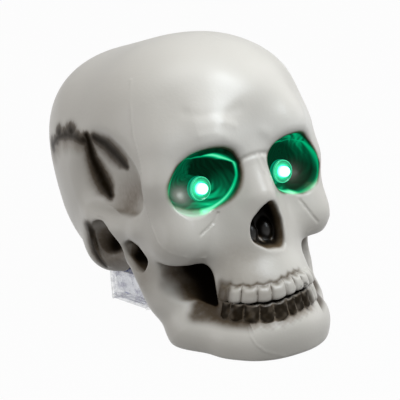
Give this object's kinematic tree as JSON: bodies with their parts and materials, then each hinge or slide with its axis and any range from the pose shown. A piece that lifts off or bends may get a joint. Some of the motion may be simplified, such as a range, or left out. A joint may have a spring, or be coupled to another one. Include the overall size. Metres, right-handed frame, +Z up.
{
  "type": "light-up skull decoration",
  "caption": "Hollow plastic skull ornament with green lamps in its eye sockets, standing on its jaw and on a clear battery box with a sliding lid and switch.",
  "frame": {"origin": "on the floor, at the middle of the bounding box's base", "axes": "+Z up, the face looks along -Y, the skull's own left side is towards +X"},
  "size_m": [0.108, 0.1692, 0.1339],
  "materials": {
    "bone_plastic": "semi-gloss, airbrushed black-brown in the hollows",
    "clear_holder": "clear gloss",
    "lamp_lens": "clear, lit green",
    "black_rubber": "matte",
    "clear_box": "clear gloss",
    "cell_wrap": "gloss wrap over a steel can",
    "plated_steel": "nickel-plated",
    "red_wire": "satin",
    "black_wire": "satin",
    "resistor_body": "satin",
    "switch_plastic": "satin"
  },
  "bodies": {
    "skull": {"skull_shell": "bone_plastic", "led_holder_right": "clear_holder", "led_right": "lamp_lens", "led_sleeve_right": "black_rubber", "led_holder_left": "clear_holder", "led_left": "lamp_lens", "led_sleeve_left": "black_rubber", "wire_red_right": "red_wire", "wire_black_right": "black_wire", "wire_red_left": "red_wire", "wire_black_left": "black_wire", "wire_grommet": "black_rubber", "battery_case": "clear_box", "cell_front": "cell_wrap", "cell_rear": "cell_wrap", "spring_front": "plated_steel", "spring_rear": "plated_steel", "contact_bridge": "plated_steel", "contact_plus": "plated_steel", "contact_minus": "plated_steel", "switch_body": "switch_plastic", "resistor": "resistor_body", "wire_plus": "red_wire", "wire_switch": "red_wire", "case_screw_right": "plated_steel", "case_screw_left": "plated_steel"},
    "lid": {"battery_lid": "clear_box"},
    "slider": {"switch_slider": "switch_plastic"}
  },
  "joints": [
    {"name": "lid_slide", "type": "slide", "parent": "skull", "child": "lid", "axis": [-1, 0, 0], "range_m": [0, 0.056]},
    {"name": "switch_slide", "type": "slide", "parent": "skull", "child": "slider", "axis": [0, -0.9894, 0.1454], "range_m": [0, 0.003]}
  ]
}
